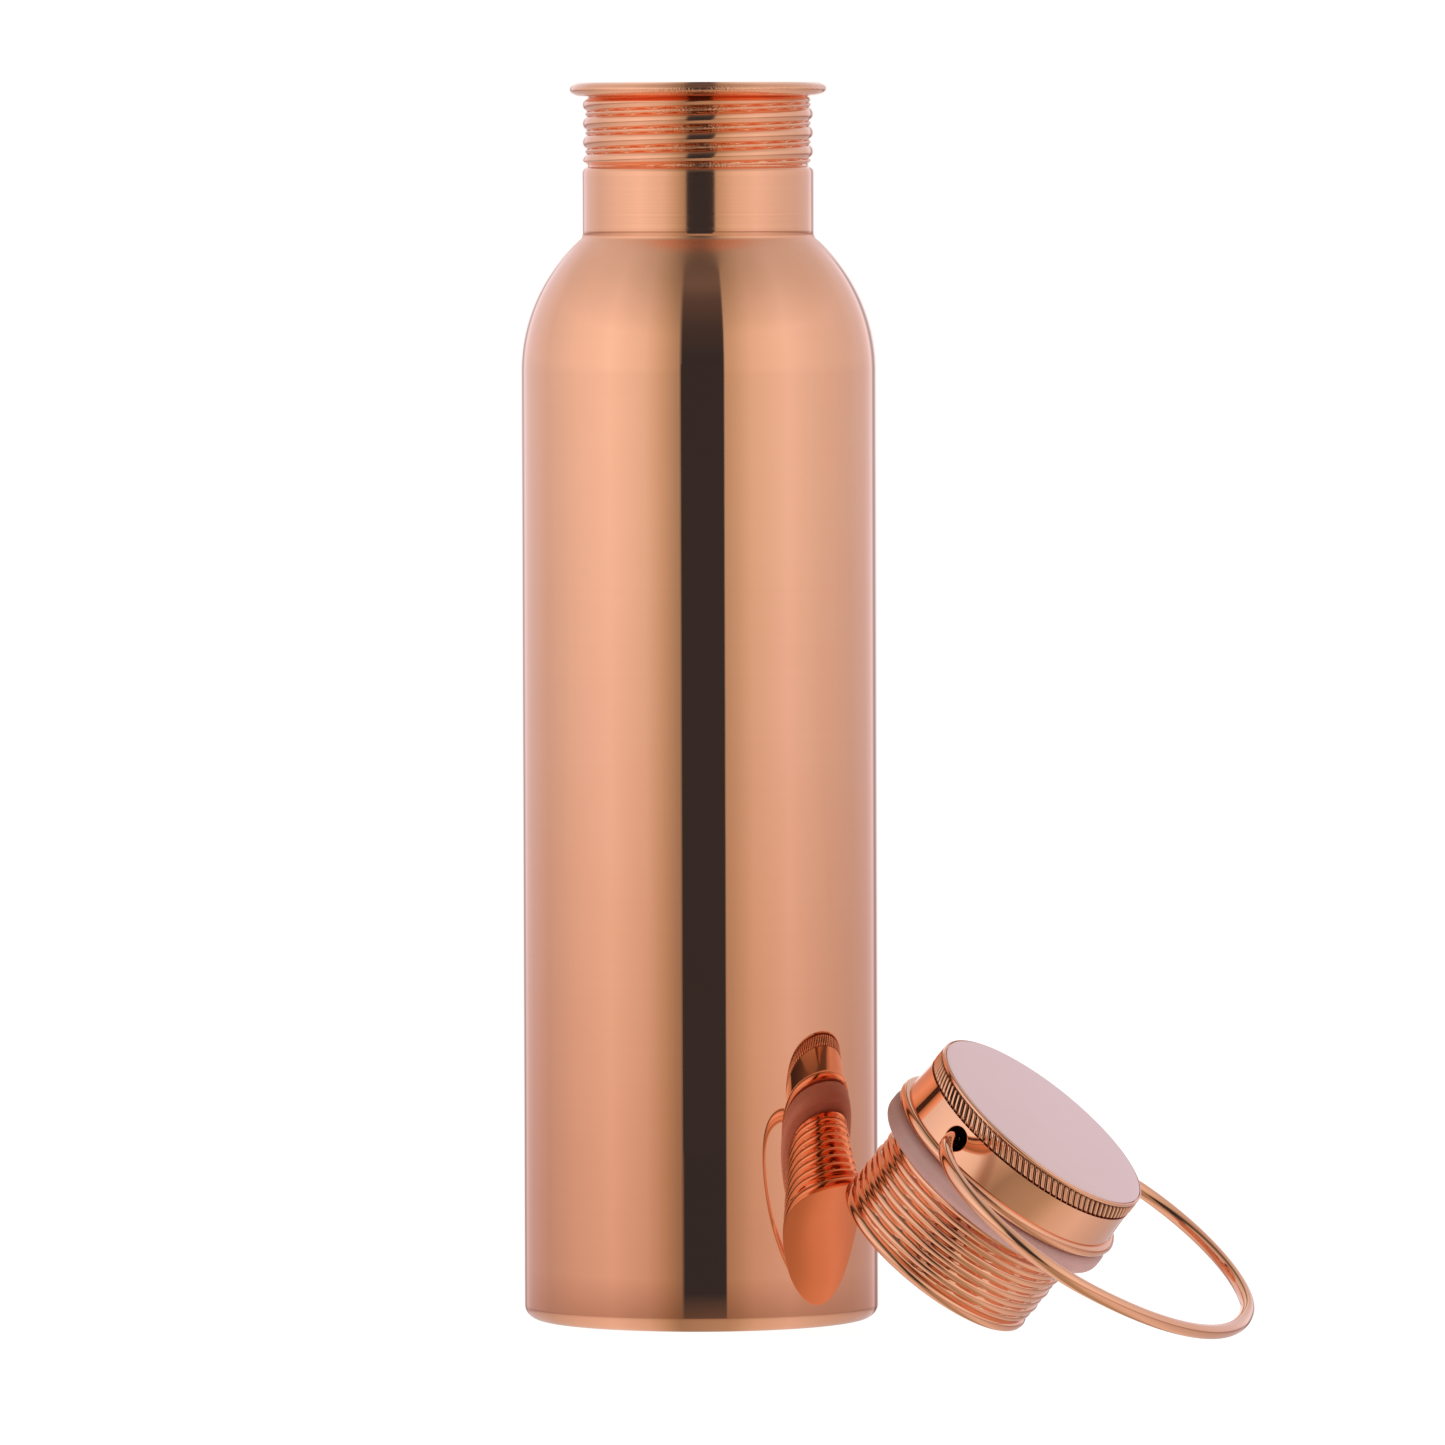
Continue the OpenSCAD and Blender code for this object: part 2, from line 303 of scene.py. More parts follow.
flag_left, flag_right, flag_top = -0.097, 0.131, 0.24
flag, cloth = sheet(
    "black_flag", "black_cloth",
    [(flag_left, front, 0), (flag_right, front, 0), (flag_right, front, flag_top),
     (flag_left, front, flag_top)],
    0, (0.04, 0.047, 0.058), 0.5)
cloth["Emission Strength"].default_value = 1
cloth["Specular IOR Level"].default_value = 0
flag.visible_camera = flag.visible_diffuse = flag.visible_shadow = False
print("table and flag in place")

# %% [markdown]
# ## Finishes
# All the copper is one metal with different handling. The body is buffed to a mirror,
# with only a faint waviness left by the spinning, and the polish fades up the shoulder.
# The neck keeps the fine rings that the lathe tool left, so its highlights smear a little
# up and down, and the roller's rough marks stay in its thread. The top disc is satin. The
# knurl's grooves are rougher than its ridges, and their colour is darkened as painted shade.
# Copper's colour goes on Base Color of a full metal, and its pale edge comes by itself
# from the metal's own reflection at a glance. Rings follow the height along a piece's
# own axis: the dot product of the place and the axis gives it, upright or laid down.

# %% Helpers for finishes


def new_finish(name):
    finish = bpy.data.materials.new(name)
    finish.use_nodes = True
    maker = Maker(finish.node_tree)
    maker.shader = finish.node_tree.nodes["Principled BSDF"]
    maker.place = maker.add("ShaderNodeVectorMath", {"operation": "SCALE"},
                            {0: maker.add("ShaderNodeTexCoord")[3], "Scale": 1 / MM})[0]
    return finish, maker


def height_along(maker, axis, origin):
    """Height in millimetres along an axis, from an origin in metres."""
    dot = maker.vector("DOT_PRODUCT", maker.place, tuple(axis))[1]
    return dot - Vector(origin).dot(axis) / MM


def distance_from(maker, axis, origin):
    """Distance in millimetres from an axis through an origin in metres."""
    place = maker.vector("SUBTRACT", maker.place, tuple(origin / MM))[0]
    sideways = maker.vector("CROSS_PRODUCT", place, tuple(axis))[0]
    return maker.vector("LENGTH", sideways)[1]


def grain(maker, height, per_mm):
    """Noise that changes only with height: the marks of a tool on a turned piece."""
    return maker.add("ShaderNodeTexNoise", {"noise_dimensions": "1D"},
                     {"W": height * per_mm, "Scale": 1.0, "Detail": 3.0})[0]


def mottle(maker, size_mm, detail=2.0):
    """Noise in all directions, with spots of a given size."""
    return maker.add("ShaderNodeTexNoise", {},
                     {"Vector": maker.place, "Scale": 1 / size_mm, "Detail": detail})[0]


def feed(maker, colour, roughness, relief, depth_mm, metal=1.0):
    """Joins what varies to the shader."""
    shader = maker.shader
    shader.inputs["Metallic"].default_value = metal
    bump = maker.add("ShaderNodeBump", {}, {"Height": relief, "Distance": depth_mm * MM,
                                           "Strength": 1.0})[0]
    for name, value in (("Base Color", colour), ("Roughness", roughness), ("Normal", bump)):
        maker.tree.links.new(value.socket, shader.inputs[name])


# %% Copper finishes
UP = Vector((0, 0, 1))


def copper(name, axis, origin, colours, rough, ring_rough, ring_mm, wave_mm, rings_per_mm=5.0,
           extra=None):
    """Copper with rings of the lathe tool across its axis and a slow waviness."""
    finish, maker = new_finish(name)
    height = height_along(maker, axis, origin)
    fine = grain(maker, height, rings_per_mm)
    coarse = grain(maker, height, 0.6)
    slow = mottle(maker, 14.0)
    specks = mottle(maker, 0.35)
    roughness = rough + ring_rough * fine + 0.01 * specks
    relief = fine * ring_mm + slow * wave_mm
    if extra:
        more_rough, more_relief = extra(maker, height)
        roughness, relief = roughness + more_rough, relief + more_relief
    feed(maker, maker.mix(slow * 0.7 + coarse * 0.3, *colours), roughness, relief, 1.0)
    return finish


def satin_shoulder(maker, height):
    """The polish fades up the shoulder, and the tool's rings begin to show."""
    part = ((height - 196) / 26).held()
    last = ((height - 215) / 6).held()
    return 0.06 * part * part + 0.2 * last, grain(maker, height, 0.9) * part * 0.012


def chatter(maker, height):
    """Rough marks of the roller in the groove, along the ridge between the beads."""
    x, y = maker.add("ShaderNodeSeparateXYZ", {}, [maker.place])[:2]
    turns = (height - thread_start) / pitch - y.angle(x) / (2 * math.pi)
    off = abs(turns + 0.5 - (turns + 1.0).floor()) * pitch
    zone = (1 - off / 0.95).most(0.0) * (height > bottle_h - lip_h - thread_h - 0.2)
    return 0.1 * zone, mottle(maker, 0.5, 3.0) * zone * 0.12


def pressed(name, axis, origin, painted_groove_shade, crest, floor_r, ridge_h):
    """Copper that is polished on the knurl's ridges and rougher in its grooves, whose colour is
    darkened as painted shade.
    """
    finish, maker = new_finish(name)
    # Painted shade: the colour is dark down in the grooves and bright copper on the ridges; only
    # the rougher grooves are real dullness.
    ridge_polish_and_shade_mask = ((distance_from(maker, axis, origin) - floor_r) / ridge_h).held()
    feed(maker, maker.mix(ridge_polish_and_shade_mask, painted_groove_shade, crest), 0.3 - 0.22 * ridge_polish_and_shade_mask,
         mottle(maker, 0.4), 0.001)
    return finish


bottle_axis = (UP, Vector((0, 0, 0)))
cap_axis = (cap_up, cap_origin)
mirror_copper = ((0.92, 0.47, 0.305), (0.96, 0.505, 0.335))
body_mirror = copper("body_mirror_copper", *bottle_axis, mirror_copper, rough=0.015,
                     ring_rough=0.02, ring_mm=0.00006, wave_mm=0.004, extra=satin_shoulder)
neck_turned = copper("neck_turned_copper", *bottle_axis, ((0.92, 0.46, 0.29), (0.96, 0.50, 0.33)),
                     rough=0.05, ring_rough=0.1, ring_mm=0.014, wave_mm=0.004,
                     rings_per_mm=1.3, extra=chatter)
cap_mirror = copper("cap_mirror_copper", *cap_axis, mirror_copper, rough=0.03,
                    ring_rough=0.05, ring_mm=0.0002, wave_mm=0.003)
plug_turned = copper("plug_turned_copper", *cap_axis, ((0.90, 0.45, 0.29), (0.95, 0.50, 0.33)),
                     rough=0.06, ring_rough=0.08, ring_mm=0.0006, wave_mm=0.003)
wire_drawn = copper("wire_drawn_copper", *cap_axis, mirror_copper, rough=0.05,
                    ring_rough=0.05, ring_mm=0.0002, wave_mm=0.002)
# The dark first colour is painted shade in the knurl's grooves.
knurl_pressed = pressed("knurl_pressed_copper", *cap_axis, (0.16, 0.07, 0.045),
                        mirror_copper[1], floor_r=24.78, ridge_h=0.3)
disc_satin = copper("disc_satin_copper", *cap_axis, ((0.93, 0.64, 0.60), (0.98, 0.69, 0.66)),
                    rough=0.34, ring_rough=0.03, ring_mm=0.0001, wave_mm=0.001)
print("copper finishes", len(bpy.data.materials))

# %% [markdown]
# ## Seal
# The seal is soft silicone, mauve-grey and slightly clear. Real clearness would need
# light through it; a ring this thick shows almost none, so a soft diffuse colour with a
# little scatter under the surface is enough, and it exports well.

# %% Seal finish
seal_soft, seal_maker = new_finish("seal_silicone")
seal_cloud = mottle(seal_maker, 6.0)
seal_dust = mottle(seal_maker, 0.4)
feed(seal_maker, seal_maker.mix(seal_cloud, (0.48, 0.26, 0.23), (0.57, 0.32, 0.29)),
     0.38 + 0.12 * seal_dust, seal_dust, 0.004, metal=0.0)
seal_maker.shader.inputs["Subsurface Weight"].default_value = 0.25
seal_maker.shader.inputs["Subsurface Radius"].default_value = (0.004, 0.002, 0.002)
seal_maker.shader.inputs["Subsurface Scale"].default_value = 1.0
print("seal finish made")

# %% [markdown]
# ## Turning on a lathe
# Most pieces are turned, so one helper takes half an outline, radius and height in
# millimetres, and turns it round the axis. The Screw modifier could do that too, but
# here the rows must be close where the thread will be, and the poles closed.
# `arc` gives the rounded corners that a mirror finish needs: a sharp corner has no
# highlight. Smooth shading is kept except where two faces meet at more than 40 degrees.

# %% Lathe


def arc(centre, radius, start, end, steps):
    """Points round an arc in the outline, between two directions in degrees."""
    turn = [math.radians(start + (end - start) * i / steps) for i in range(steps + 1)]
    return [(centre[0] + radius * math.cos(a), centre[1] + radius * math.sin(a)) for a in turn]


def line(start, end, steps):
    """Points of a straight run, without its first one."""
    return [(start[0] + (end[0] - start[0]) * i / steps, start[1] + (end[1] - start[1]) * i / steps)
            for i in range(1, steps + 1)]


def turned(name, outline, finish, around=256, closed=False):
    """Turns an outline that runs up the outside, and makes an object of it."""
    points, rings = [], []
    for radius, height in outline:
        if radius < 1e-6:
            rings.append([len(points)])
            points.append((0, 0, height * MM))
        else:
            rings.append(list(range(len(points), len(points) + around)))
            points += [(radius * MM * math.cos(a), radius * MM * math.sin(a), height * MM)
                       for a in np.linspace(0, 2 * math.pi, around, endpoint=False)]
    faces = []
    for low, high in zip(rings, rings[1:] + rings[:1] if closed else rings[1:]):
        if len(low) == len(high) == 1:
            continue
        for k in range(around):
            n = (k + 1) % around
            if len(low) == 1:
                faces.append((low[0], high[n], high[k]))
            elif len(high) == 1:
                faces.append((low[k], low[n], high[0]))
            else:
                faces.append((low[k], low[n], high[n], high[k]))
    return finished_mesh(name, points, faces, finish)


def finished_mesh(name, points, faces, finish):
    """Makes a smooth object of points in metres and faces."""
    mesh = bpy.data.meshes.new(name)
    mesh.from_pydata(points, [], faces)
    mesh.materials.append(finish)
    mesh.shade_smooth()
    mesh.set_sharp_from_angle(angle=math.radians(40))
    piece = bpy.data.objects.new(name, mesh)
    bpy.context.scene.collection.objects.link(piece)
    return piece


def hand_over(piece, body, slot, *nodes, lay=False):
    """Lays a cap piece in its place, and puts a finished piece on its CAD body."""
    if lay:
        piece.data.transform(lay_cap)
    for node in nodes:
        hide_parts(node)
    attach(piece, body)
    piece.data.update()
    print(piece.name, "faces", len(piece.data.polygons))


# %% [markdown]
# ## Body
# One drawn shell: heel, straight side and a round shoulder that runs up to the neck. The
# outline goes up the outside and comes back down the inside, a sheet thickness in. The
# bottom is a separate disc inside the heel.

# %% Body and base
shoulder_centre_r, fillet = 0.5, 1.0
shoulder_r = body_r - shoulder_centre_r
shoulder_z = joint_z - math.sqrt(shoulder_r ** 2 - (neck_r - shoulder_centre_r) ** 2)
inner_r = shoulder_r - wall
inner_top = math.degrees(math.acos((neck_r - wall - shoulder_centre_r) / inner_r))
fillet_angle = math.degrees(math.acos(
    (neck_r + fillet - shoulder_centre_r) / (shoulder_r + fillet)))
fillet_z = shoulder_z + (shoulder_r + fillet) * math.sin(math.radians(fillet_angle))
body_outline = (
    arc((body_r - heel_r, heel_r), heel_r, -90, 0, 14)
    + line((body_r, heel_r), (body_r, shoulder_z), 24)
    + arc((shoulder_centre_r, shoulder_z), shoulder_r, 0, fillet_angle, 56)[1:]
    + arc((neck_r + fillet, fillet_z), fillet, fillet_angle - 180, -180, 10)[1:]
    + [(neck_r - wall, fillet_z), (neck_r - wall, joint_z)]
    + arc((shoulder_centre_r, shoulder_z), inner_r, inner_top, 0, 40)
    + line((body_r - wall, shoulder_z), (body_r - wall, heel_r), 12)
    + arc((body_r - heel_r, heel_r), heel_r - wall, 0, -90, 10)[1:])
body = turned("body_shell_copper", body_outline, body_mirror, closed=True)
hand_over(body, "bottle", "polished_copper", "body_shell")

base_r, base_t = body_r - heel_r, 0.8
base_outline = [(0, 0.05), (20, 0.05), (base_r - 0.35, 0.05), (base_r - 0.05, 0.0),
                (base_r, 0.1), (base_r, base_t), (0, base_t)]
base = turned("base_disc_copper", base_outline, body_mirror, around=192)
hand_over(base, "bottle", "polished_copper", "base_disc")

# %% [markdown]
# ## Rolled threads
# The thread is rolled into the sheet: one bold round bead, and midway between its turns
# a low narrow ridge that the roller pinched up. A helix is a rule, so Geometry Nodes
# make it: every point of a plain tube moves out by a height that depends only on how far
# along the pitch it is, height minus angle. The same tree threads the neck, inside and
# out, and the plug, outside only. On the plug the ridge is nearly as bold as the bead.
#
# Every tree here opens and closes alike, so two helpers do that: the first gives a tree
# its named inputs, and the second realizes what was made and gives it its finish.

# %% Thread tree


def open_tree(name, numbers):
    """A tree with a geometry, some numbers and a finish coming in."""
    tree = bpy.data.node_groups.new(name, "GeometryNodeTree")
    tree.interface.new_socket("Geometry", in_out="INPUT", socket_type="NodeSocketGeometry")
    for label, value in numbers.items():
        kind = "NodeSocketInt" if isinstance(value, int) else "NodeSocketFloat"
        socket = tree.interface.new_socket(label, in_out="INPUT", socket_type=kind)
        socket.default_value = value
    tree.interface.new_socket("Finish", in_out="INPUT", socket_type="NodeSocketMaterial")
    tree.interface.new_socket("Geometry", in_out="OUTPUT", socket_type="NodeSocketGeometry")
    maker = Maker(tree)
    inputs = maker.add("NodeGroupInput")
    return maker, {value.socket.name: value for value in inputs if value.socket.name}


def close_tree(maker, geometry, finish):
    real = maker.add("GeometryNodeRealizeInstances", {}, [geometry])[0]
    shown = maker.add("GeometryNodeSetMaterial", {}, {"Geometry": real, "Material": finish})[0]
    maker.add("NodeGroupOutput", {}, [shown])
    return maker.tree


def thread_tree():
    maker, given = open_tree("rolled_thread", {
        "Pitch": pitch, "Start": 0.0, "Low": 0.0, "Top": 10.0, "Bead height": 1.3,
        "Bead half width": 1.0, "Ridge height": 0.6, "Ridge half width": 0.5,
        "Inside limit": 0.0, "Run out": 2.0})
    where = maker.add("GeometryNodeInputPosition")[0]
    x, y, z = maker.add("ShaderNodeSeparateXYZ", {}, [where])[:3]
    radius = (x * x + y * y).root() / MM
    height = z / MM
    turns = (height - given["Start"]) / given["Pitch"] - y.angle(x) / (2 * math.pi)
    off_bead = abs(turns - (turns + 0.5).floor()) * given["Pitch"]
    off_ridge = abs(turns + 0.5 - (turns + 1.0).floor()) * given["Pitch"]
    bead = (1 - (off_bead / given["Bead half width"]) ** 2).most(0.0).root()
    ridge = (1 - (off_ridge / given["Ridge half width"]) ** 2).most(0.0).root()
    room = (height - given["Low"]).least(given["Top"] - height) / given["Run out"]
    lift = room.held() * (bead * given["Bead height"]).most(ridge * given["Ridge height"])
    lift = lift * (radius > given["Inside limit"])
    outward = maker.add("ShaderNodeCombineXYZ", {}, [x / radius, y / radius, 0.0])[0]
    offset = maker.add("ShaderNodeVectorMath", {"operation": "SCALE"},
                       {0: outward, "Scale": lift})[0]
    moved = maker.add("GeometryNodeSetPosition", {},
                      {"Geometry": given["Geometry"], "Offset": offset})[0]
    return close_tree(maker, moved, given["Finish"])


def through_nodes(piece, tree, **inputs):
    """Runs a tree on a piece and keeps the result as its plain mesh."""
    modifier = piece.modifiers.new(tree.name, "NODES")
    modifier.node_group = tree
    names = {item.name: item.identifier for item in tree.interface.items_tree
             if item.item_type == "SOCKET" and item.in_out == "INPUT"}
    for name, value in inputs.items():
        modifier[names[name.replace("_", " ")]] = value
    bpy.context.view_layer.update()
    graph = bpy.context.evaluated_depsgraph_get()
    made = bpy.data.meshes.new_from_object(piece.evaluated_get(graph))
    piece.modifiers.remove(modifier)
    piece.data = made
    made.shade_smooth()
    made.set_sharp_from_angle(angle=math.radians(55))
    return piece


rolled_thread = thread_tree()
print("thread nodes", len(rolled_thread.nodes))

# %% [markdown]
# ## Neck
# The neck stands on the shoulder: a plain band with fine turning rings, a step in to the
# groove of the thread, four turns of bead, and a wide lip rolled outwards at the mouth.

# %% Neck, threads and lip
groove_r = 22.35
bead_top = bottle_h - lip_h
thread_low, lip_mid = bead_top - thread_h, bottle_h - lip_h / 2
lip_bead, lip_wide = lip_h / 2, 2.9
neck_outline = (
    [(neck_r - 0.12, joint_z), (neck_r - 0.12, fillet_z), (neck_r, fillet_z + 0.15)]
    + line((neck_r, fillet_z + 0.15), (neck_r, thread_low - 1.5), 14)
    + arc((neck_r - 1.3, thread_low - 1.5), 1.3, 0, 80, 9)[1:]
    + line((neck_r - 1.07, thread_low - 0.22), (groove_r, thread_low + 0.1), 2)
    + line((groove_r, thread_low + 0.1), (groove_r, bead_top), 84)
    + [(lip_r - lip_wide + lip_wide * math.cos(a), lip_mid + lip_bead * math.sin(a))
       for a in np.linspace(-math.pi / 2, math.pi / 2, 25)]
    + arc((groove_r - wall + 0.6, bottle_h - 0.6), 0.6, 90, 180, 6)
    + line((groove_r - wall, bottle_h - 0.6), (groove_r - wall, thread_low - 0.3), 82)
    + [(neck_r - wall, thread_low - 1.5)]
    + line((neck_r - wall, thread_low - 1.5), (neck_r - wall, joint_z), 8))
neck = turned("neck_collar_copper", neck_outline, neck_turned, around=320, closed=True)
through_nodes(neck, rolled_thread, Start=thread_start, Low=thread_low - 0.3, Top=bead_top + 0.2,
              Bead_height=1.35, Bead_half_width=1.42, Ridge_height=0.8, Ridge_half_width=0.55,
              Inside_limit=0.0, Run_out=1.2, Finish=neck_turned)
hand_over(neck, "bottle", "brushed_copper", "neck_collar")

# %% [markdown]
# ## Plug and flange
# Under the cap hangs a hollow plug with the same thread rolled into it, closed by a flat
# end. Its last bead runs round the rim. Above the thread the sheet turns out under the
# seal and ends in a rolled flange.

# %% Plug
rim_z, rim_r = -plug_h + 1.1, 1.1
flange_bead = flange_h / 2
plug_outline = (
    [(0, -plug_h + 0.25), (12, -plug_h + 0.22)]
    + arc((plug_r - rim_r, rim_z), rim_r, -90, 90, 16)
    + line((plug_r - rim_r, rim_z + rim_r), (plug_core_r, rim_z + rim_r + 0.15), 1)
    + line((plug_core_r, rim_z + rim_r + 0.15), (plug_core_r, 0), 84)
    + line((plug_core_r, 0), (plug_core_r, seal_h), 2)
    + arc((flange_r - flange_bead, seal_h + flange_bead), flange_bead, -90, 180, 26)
    + [(flange_r - flange_h, seal_h + cap_wall), (plug_bore_r, seal_h + cap_wall),
       (plug_bore_r, -plug_h + cap_wall), (0, -plug_h + cap_wall)])
plug = turned("threaded_plug_copper", plug_outline, plug_turned)
through_nodes(plug, rolled_thread, Start=-3.4, Low=rim_z + 0.9, Top=0.4,
              Bead_height=1.3, Bead_half_width=1.06, Ridge_height=1.12, Ridge_half_width=1.0,
              Inside_limit=plug_core_r - 0.2, Run_out=1.2, Finish=plug_turned)
hand_over(plug, "cap", "brushed_copper", "threaded_plug", lay=True)

# %% [markdown]
# ## Seal
# A thick ring between the thread and the flange, with round edges from moulding.

# %% Seal ring
edge = 1.9
seal_out = flange_r - 0.15
seal_outline = (
    [(plug_core_r + 0.1, 0.3), (plug_core_r + 0.4, 0.0)]
    + arc((seal_out - edge, edge), edge, -90, 0, 14)
    + arc((seal_out - edge, seal_h - edge), edge, 0, 90, 14)
    + [(plug_core_r + 0.1, seal_h)])
seal = turned("seal_ring_silicone", seal_outline, seal_soft, closed=True)
hand_over(seal, "cap", "seal", "seal_ring", lay=True)

# %% [markdown]
# ## Cap shell
# The skirt is a plain band that flares a little to the flange, with a hole on each side
# for the bail, then the knurled rim and a bevel round the top disc. A Boolean could cut
# the holes, but on a mirror finish its thin slivers would show. Instead the band is a
# grid whose rows and columns leave out a window round each hole, and the window is
# filled with rings that go from the square edge to the round one, all on the same
# curved surface, so the shading never breaks.

# %% Skirt with its two holes


def band_radius(height):
    """Outer radius of the plain band: it flares towards the flange."""
    part = (knurl_z - height) / (knurl_z - skirt_z)
    return skirt_r - 0.38 + 0.38 * max(0.0, part) ** 1.6


def skirt_mesh():
    """The band as a sheet with an outer and an inner face, and two holes through it."""
    around, rows_up, columns = 256, 14, 7
    low, high = skirt_z - 0.25, knurl_z + 0.1
    rows = [low + (high - low) * i / rows_up for i in range(rows_up + 1)]
    step = 2 * math.pi / around
    points, faces, index = [], [], {}

    def vertex(angle, height, inset):
        key = (round(math.cos(angle), 6), round(math.sin(angle), 6), round(height, 5), inset)
        if key not in index:
            index[key] = len(points)
            radius = (band_radius(height) - inset) * MM
            points.append((radius * math.cos(angle), radius * math.sin(angle), height * MM))
        return index[key]

    def strip(one, two, outward=True):
        for k, n in zip(range(len(one)), [*range(1, len(one)), 0]):
            quad = (one[k], one[n], two[n], two[k])
            faces.append(quad if outward else quad[::-1])

    def near_hole(k, i):
        turn = (k + 0.5) * step % math.pi
        return min(turn, math.pi - turn) < columns * step and 1 <= i < rows_up - 1

    border = (
        [(c * step, rows[1]) for c in range(-columns, columns)]
        + [(columns * step, rows[i]) for i in range(1, rows_up - 1)]
        + [(c * step, rows[-2]) for c in range(columns, -columns, -1)]
        + [(-columns * step, rows[i]) for i in range(rows_up - 1, 1, -1)])

    def loop(hole_angle, part, radius, inset):
        """A loop round a hole: at part 0 it is the window, at part 1 the round edge."""
        found = []
        for turn, height in border:
            way = math.atan2(height - hole_z, turn * skirt_r)
            reach = math.hypot(height - hole_z, turn * skirt_r)
            reach += (radius - reach) * part
            found.append(vertex(hole_angle + reach * math.cos(way) / skirt_r,
                                hole_z + reach * math.sin(way), inset))
        return found

    for inset, outward in ((0.0, True), (cap_wall, False)):
        for k in range(around):
            here, there = k * step, (k + 1) * step
            for i in range(rows_up):
                if not near_hole(k, i):
                    quad = (vertex(here, rows[i], inset), vertex(there, rows[i], inset),
                            vertex(there, rows[i + 1], inset), vertex(here, rows[i + 1], inset))
                    faces.append(quad if outward else quad[::-1])
    for row, outward in ((low, False), (high, True)):
        strip([vertex(k * step, row, 0.0) for k in range(around)],
              [vertex(k * step, row, cap_wall) for k in range(around)], outward)
    for hole_angle in (0.0, math.pi):
        outside = [loop(hole_angle, part, hole_r + 0.15, 0.0)
                   for part in (0, 0.25, 0.5, 0.75, 0.9, 1)]
        inside = [loop(hole_angle, part, hole_r, cap_wall) for part in (0, 0.5, 1)]
        edge_loops = [outside[-1], loop(hole_angle, 1, hole_r + 0.05, 0.06),
                      loop(hole_angle, 1, hole_r, 0.18), inside[-1]]
        for loops, outward in ((outside, True), (inside, False), (edge_loops, True)):
            for one, two in zip(loops, loops[1:]):
                strip(one, two, outward)
    return points, faces


points, faces = skirt_mesh()
skirt = finished_mesh("cap_skirt_copper", points, faces, cap_mirror)
hand_over(skirt, "cap", "polished_copper", "cap_shell", lay=True)

# %% Crown with its bevel
disc_r = skirt_r - 0.75
rim_floor = skirt_r - 0.95
crown_outline = (
    [(band_radius(knurl_z) - 0.03, knurl_z + 0.02), (rim_floor, knurl_z + 0.12),
     (rim_floor, cap_top - 0.74), (skirt_r - 0.42, cap_top - 0.62)]
    + arc((skirt_r - 0.78, cap_top - 0.38), 0.38, -20, 90, 10)
    + [(disc_r - 0.05, cap_top - 0.06), (disc_r - 0.05, cap_top - 0.5), (0, cap_top - 0.5),
       (0, cap_top - 1.3), (rim_floor - cap_wall, cap_top - 1.3),
       (rim_floor - cap_wall, knurl_z + 0.02)])
crown = turned("cap_crown_copper", crown_outline, cap_mirror, closed=True)
hand_over(crown, "cap", "polished_copper", lay=True)

# %% [markdown]
# ## Knurl
# The rim is pressed between knurling rollers that leave slanted ridges. They repeat, so
# Geometry Nodes place them: one ridge is modelled at angle zero, and the tree turns a
# copy of it to each place round the rim.

# %% Knurl ridges
knurl_count, knurl_slant = 107, math.radians(31)


def one_ridge():
    """A low bar with a rounded back that leans over as it climbs, at angle zero."""
    low, high = knurl_z + 0.12, cap_top - 0.66
    foot, crest = rim_floor - 0.02, skirt_r - 0.34
    half_width = math.pi * skirt_r / knurl_count * 0.93
    section = ((-1, 0), (-0.55, 0.75), (0, 1), (0.55, 0.75), (1, 0))
    wide, tall = len(section), 6
    points = []
    for i in range(tall + 1):
        part = i / tall
        height = low + (high - low) * part
        slide = -math.tan(knurl_slant) * (height - low)
        fade = min(1.0, 5 * min(part, 1 - part) + 0.25)
        for sideways, lift in section:
            radius = (foot + (crest - foot) * lift * fade) * MM
            angle = (slide + sideways * half_width) / skirt_r
            points.append((radius * math.cos(angle), radius * math.sin(angle), height * MM))
    back = [(i * wide + j, i * wide + j + 1, (i + 1) * wide + j + 1, (i + 1) * wide + j)
            for i in range(tall) for j in range(wide - 1)]
    ends = [tuple(range(wide - 1, -1, -1)), tuple(range(tall * wide, (tall + 1) * wide))]
    under = [(i * wide, (i + 1) * wide, (i + 2) * wide - 1, (i + 1) * wide - 1)
             for i in range(tall)]
    return points, back + ends + under


def ring_tree():
    maker, given = open_tree("copies_round_a_rim", {"Count": knurl_count})
    spots = maker.add("GeometryNodeMeshLine", {}, {"Count": given["Count"], "Offset": (0, 0, 0)})[0]
    angle = maker.add("GeometryNodeInputIndex")[0] * (2 * math.pi) / given["Count"]
    turn = maker.add("ShaderNodeCombineXYZ", {}, [0.0, 0.0, angle])[0]
    copies = maker.add("GeometryNodeInstanceOnPoints", {},
                       {"Points": spots, "Instance": given["Geometry"], "Rotation": turn})[0]
    return close_tree(maker, copies, given["Finish"])


points, faces = one_ridge()
knurl = finished_mesh("cap_knurl_copper", points, faces, knurl_pressed)
through_nodes(knurl, ring_tree(), Count=knurl_count, Finish=knurl_pressed)
hand_over(knurl, "cap", "polished_copper", lay=True)

# %% [markdown]
# ## Top disc
# A thin disc lies in the bevelled rim, very slightly crowned, with a hair of a gap round
# it that reads as a dark line.

# %% Disc
disc_edge, crown_rise, crown_rows = disc_r - 0.2, 0.42, 24
crown_parts = [i / crown_rows for i in range(crown_rows - 1, -1, -1)]
disc_outline = (
    [(0, cap_top - 0.48), (disc_edge - 0.1, cap_top - 0.48)]
    + arc((disc_edge - 0.2, cap_top - 0.1), 0.2, 0, 80, 6)
    + [((disc_edge - 0.17) * part, cap_top + 0.1 + crown_rise * (1 - part ** 2))
       for part in crown_parts])
disc = turned("cap_disc_copper", disc_outline, disc_satin)
hand_over(disc, "cap", "satin_copper", "cap_disc", lay=True)

# %% [markdown]
# ## Bail
# One length of drawn wire: a wide end, two round sides, a tight bend at each side and a
# short peg through each hole. The middle line is worked out from those arcs, each one
# meeting the next without a kink, and Geometry Nodes sweep a circle along it.

